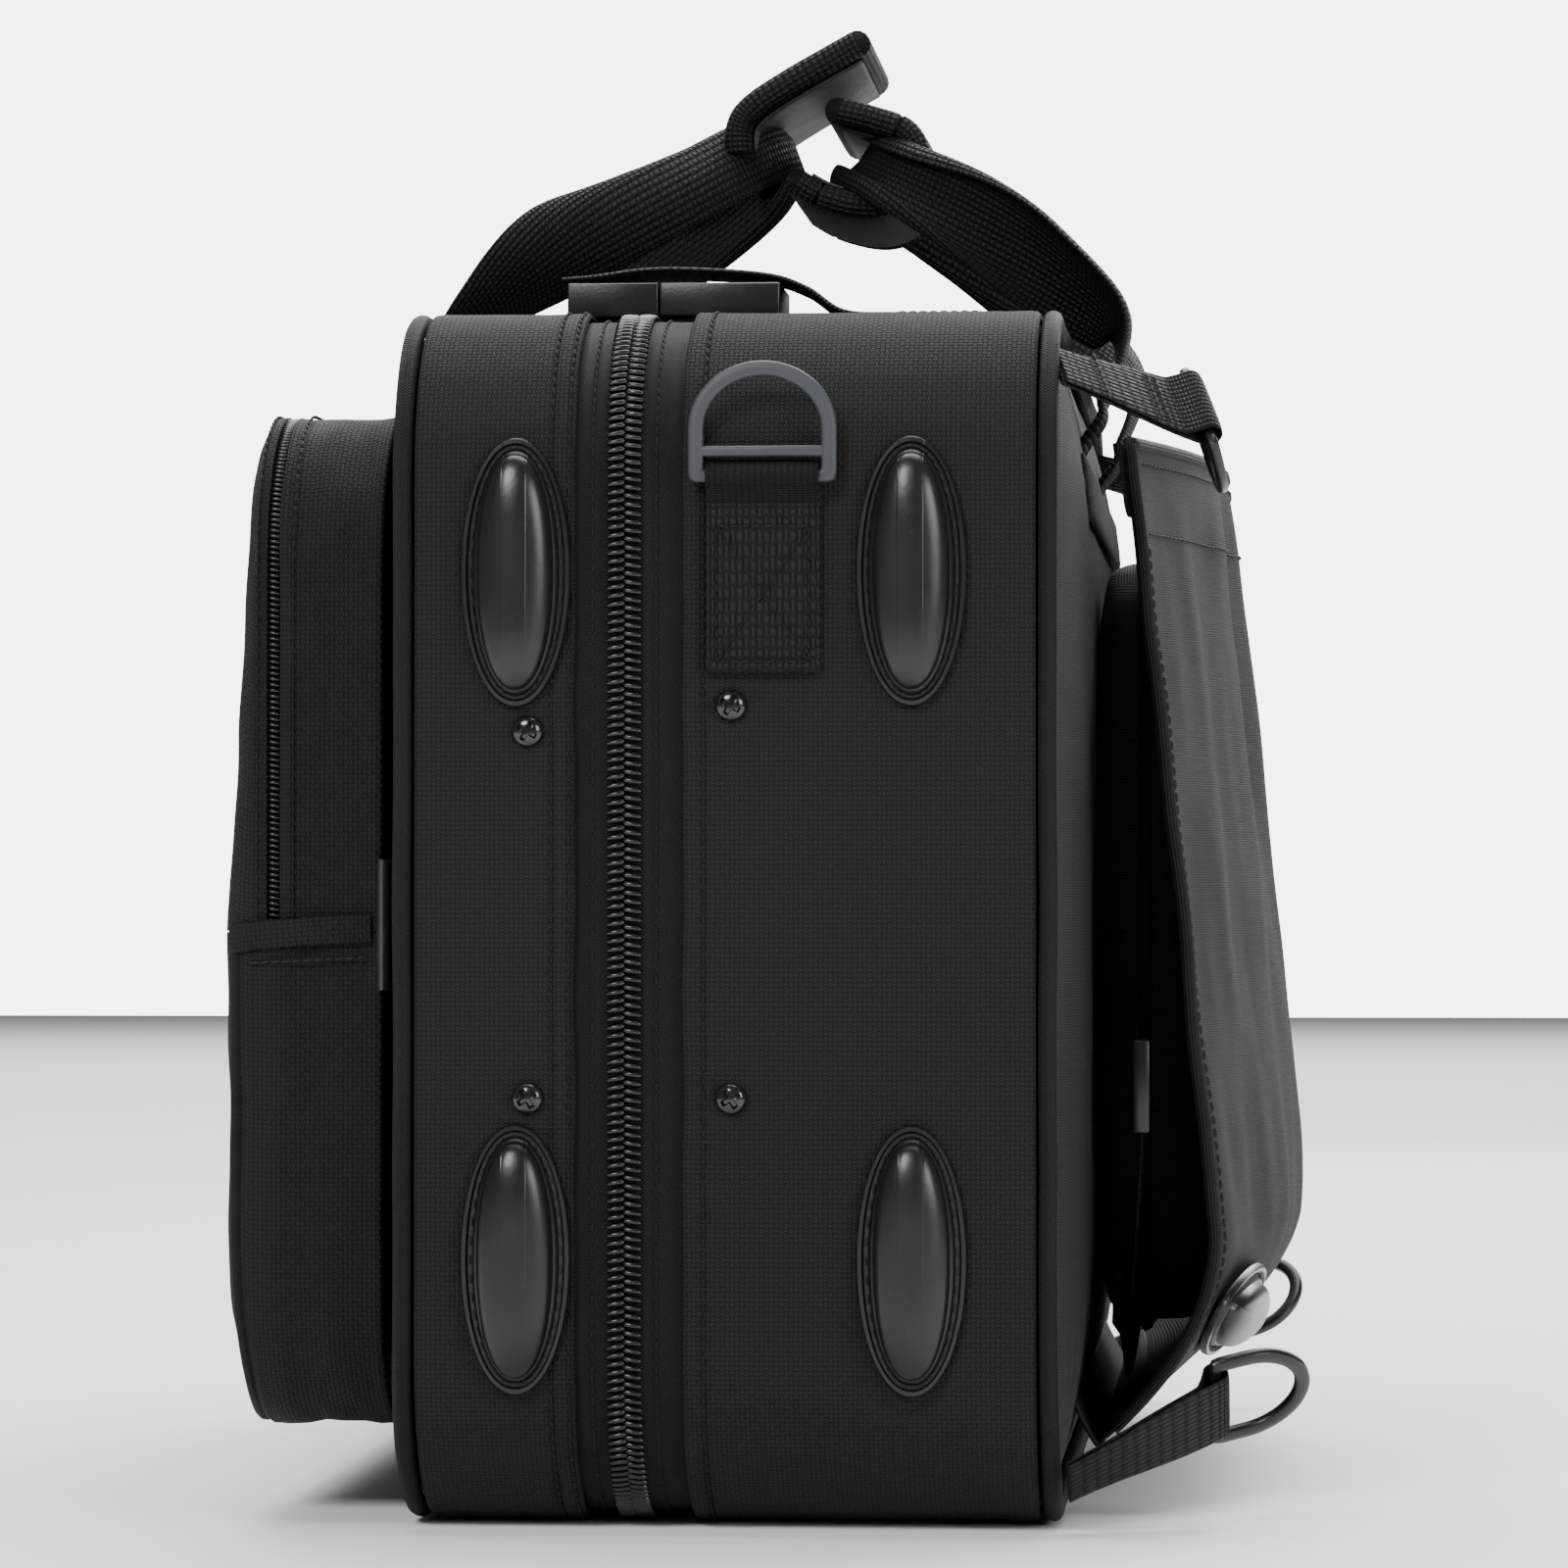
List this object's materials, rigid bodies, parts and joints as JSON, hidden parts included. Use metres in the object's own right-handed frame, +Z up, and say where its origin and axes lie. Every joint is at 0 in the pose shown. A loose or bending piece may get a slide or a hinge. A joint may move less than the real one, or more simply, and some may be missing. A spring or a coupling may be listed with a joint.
{
  "type": "soft-sided pilot flight case",
  "caption": "Soft-sided zip clamshell flight case with a front pocket, a strap-stow back flap, wrapped webbing handles, lock straps, bumpers and D-rings.",
  "frame": {"origin": "on the flat base, on the zip plane and hinge line, at mid-length", "axes": "+X along the case towards the end with the pictured D-ring, +Y towards the back flap, +Z up"},
  "size_m": [0.467, 0.2825, 0.415],
  "materials": {
    "ballistic_fabric": "black basket-weave ballistic fabric, matte",
    "packcloth": "dark grey fine-ribbed packcloth, matte",
    "piping": "bias-woven binding over cord",
    "zip_coil": "nylon coil on herringbone tape, satin",
    "hook_and_loop": "hook and loop tape",
    "board": "laminated stiffening board with a plain lining",
    "webbing": "coarse woven webbing",
    "handle_pad": "padded fabric with bound webbing edges",
    "strap_padding": "padded mesh fabric",
    "bumper_plastic": "moulded satin plastic",
    "ring_plastic": "bluish-grey moulded plastic, matte",
    "black_plastic": "black moulded acetal, satin",
    "black_steel": "black gloss coated steel",
    "slider_metal": "black painted zinc die casting"
  },
  "bodies": {
    "rear_case": {"rear_gusset": "ballistic_fabric", "rear_shell": "board", "rear_panel": "packcloth", "rear_piping": "piping", "rear_zip": "zip_coil", "hinge_strip": "ballistic_fabric", "rear_bumper_near_low": "bumper_plastic", "rear_bumper_near_high": "bumper_plastic", "rear_bumper_far_low": "bumper_plastic", "rear_bumper_far_high": "bumper_plastic", "rear_screw_bar_near": "black_steel", "rear_screw_bar_far": "black_steel", "end_tab_near": "webbing", "end_tab_far": "webbing", "corner_strap_near_top": "webbing", "corner_strap_near_low": "webbing", "corner_strap_far_top": "webbing", "corner_strap_far_low": "webbing", "shoulder_strap_near": "strap_padding", "shoulder_strap_far": "strap_padding", "buckle_socket_near": "black_plastic", "buckle_socket_far": "black_plastic", "lock_strap_near": "webbing", "lock_strap_far": "webbing"},
    "lid": {"front_gusset": "ballistic_fabric", "front_shell": "board", "front_panel": "ballistic_fabric", "front_piping": "piping", "front_zip": "zip_coil", "pocket_body": "ballistic_fabric", "pocket_zip": "zip_coil", "front_bumper_near_low": "bumper_plastic", "front_bumper_near_high": "bumper_plastic", "front_bumper_far_low": "bumper_plastic", "front_bumper_far_high": "bumper_plastic", "front_screw_bar_near": "black_steel", "front_screw_bar_far": "black_steel", "buckle_plug_near": "black_plastic", "buckle_plug_far": "black_plastic"},
    "flap": {"flap": "packcloth", "flap_hook_strip": "hook_and_loop", "flap_bumper_near": "bumper_plastic", "flap_bumper_far": "bumper_plastic"},
    "rear_handle": {"rear_handle": "webbing", "rear_handle_pad": "handle_pad"},
    "front_handle": {"front_handle": "webbing", "front_handle_pad": "handle_pad"},
    "pocket_cover": {"pocket_cover": "ballistic_fabric"},
    "pocket_slider": {"pocket_slider": "slider_metal"},
    "pocket_pull": {"pocket_pull": "slider_metal"},
    "main_near_slider": {"main_near_slider": "slider_metal"},
    "main_near_pull": {"main_near_pull": "slider_metal"},
    "main_far_slider": {"main_far_slider": "slider_metal"},
    "main_far_pull": {"main_far_pull": "slider_metal"},
    "end_ring_near": {"end_ring_near": "ring_plastic"},
    "end_ring_far": {"end_ring_far": "ring_plastic"},
    "corner_ring_near_top": {"corner_ring_near_top": "black_plastic"},
    "corner_ring_near_low": {"corner_ring_near_low": "black_plastic"},
    "corner_ring_far_top": {"corner_ring_far_top": "black_plastic"},
    "corner_ring_far_low": {"corner_ring_far_low": "black_plastic"}
  },
  "joints": [
    {"name": "lid_hinge", "type": "hinge", "parent": "rear_case", "child": "lid", "pos_m": [0, 0, 0], "axis": [1, 0, 0], "range_deg": [0, 175]},
    {"name": "flap_hinge", "type": "hinge", "parent": "rear_case", "child": "flap", "pos_m": [0, 0.1205, 0.02], "axis": [-1, 0, 0], "range_deg": [0, 110]},
    {"name": "rear_handle_hinge", "type": "hinge", "parent": "rear_case", "child": "rear_handle", "pos_m": [0, 0.1182, 0.296], "axis": [-1, 0, 0], "range_deg": [0, 90]},
    {"name": "front_handle_hinge", "type": "hinge", "parent": "lid", "child": "front_handle", "pos_m": [0, -0.0627, 0.296], "axis": [1, 0, 0], "range_deg": [0, 90]},
    {"name": "pocket_cover_hinge", "type": "hinge", "parent": "lid", "child": "pocket_cover", "pos_m": [0, -0.1079, 0.153], "axis": [1, 0, 0], "range_deg": [0, 100]},
    {"name": "pocket_slider_slide", "type": "slide", "parent": "lid", "child": "pocket_slider", "axis": [1, 0, 0], "range_m": [0, 0.26]},
    {"name": "pocket_pull_hinge", "type": "hinge", "parent": "pocket_slider", "child": "pocket_pull", "pos_m": [-0.13, -0.09625, 0.2928], "axis": [0, -1, 0], "range_deg": [0, 170]},
    {"name": "main_near_slide", "type": "slide", "parent": "rear_case", "child": "main_near_slider", "axis": [1, 0, 0], "range_m": [0, 0.085]},
    {"name": "main_near_pull_hinge", "type": "hinge", "parent": "main_near_slider", "child": "main_near_pull", "pos_m": [0.007, 0, 0.3178], "axis": [0, -1, 0], "range_deg": [0, 100]},
    {"name": "main_far_slide", "type": "slide", "parent": "rear_case", "child": "main_far_slider", "axis": [-1, 0, 0], "range_m": [0, 0.085]},
    {"name": "main_far_pull_hinge", "type": "hinge", "parent": "main_far_slider", "child": "main_far_pull", "pos_m": [-0.007, 0, 0.3178], "axis": [0, 1, 0], "range_deg": [0, 100]},
    {"name": "end_ring_near_hinge", "type": "hinge", "parent": "rear_case", "child": "end_ring_near", "pos_m": [0.22903, 0.0358, 0.269], "axis": [0, 1, 0], "range_deg": [0, 150]},
    {"name": "end_ring_far_hinge", "type": "hinge", "parent": "rear_case", "child": "end_ring_far", "pos_m": [-0.22903, 0.0358, 0.269], "axis": [0, -1, 0], "range_deg": [0, 150]},
    {"name": "corner_ring_near_top_hinge", "type": "hinge", "parent": "rear_case", "child": "corner_ring_near_top", "pos_m": [0.18811, 0.14595, 0.28888], "axis": [0.6995, 0.2498, -0.6695], "range_deg": [-45, 45]},
    {"name": "corner_ring_near_low_hinge", "type": "hinge", "parent": "rear_case", "child": "corner_ring_near_low", "pos_m": [0.19333, 0.14998, 0.03235], "axis": [0.722, 0, 0.6919], "range_deg": [-45, 45]},
    {"name": "corner_ring_far_top_hinge", "type": "hinge", "parent": "rear_case", "child": "corner_ring_far_top", "pos_m": [-0.18811, 0.14595, 0.28888], "axis": [0.6995, -0.2498, 0.6695], "range_deg": [-45, 45]},
    {"name": "corner_ring_far_low_hinge", "type": "hinge", "parent": "rear_case", "child": "corner_ring_far_low", "pos_m": [-0.19333, 0.14998, 0.03235], "axis": [0.722, 0, -0.6919], "range_deg": [-45, 45]}
  ]
}
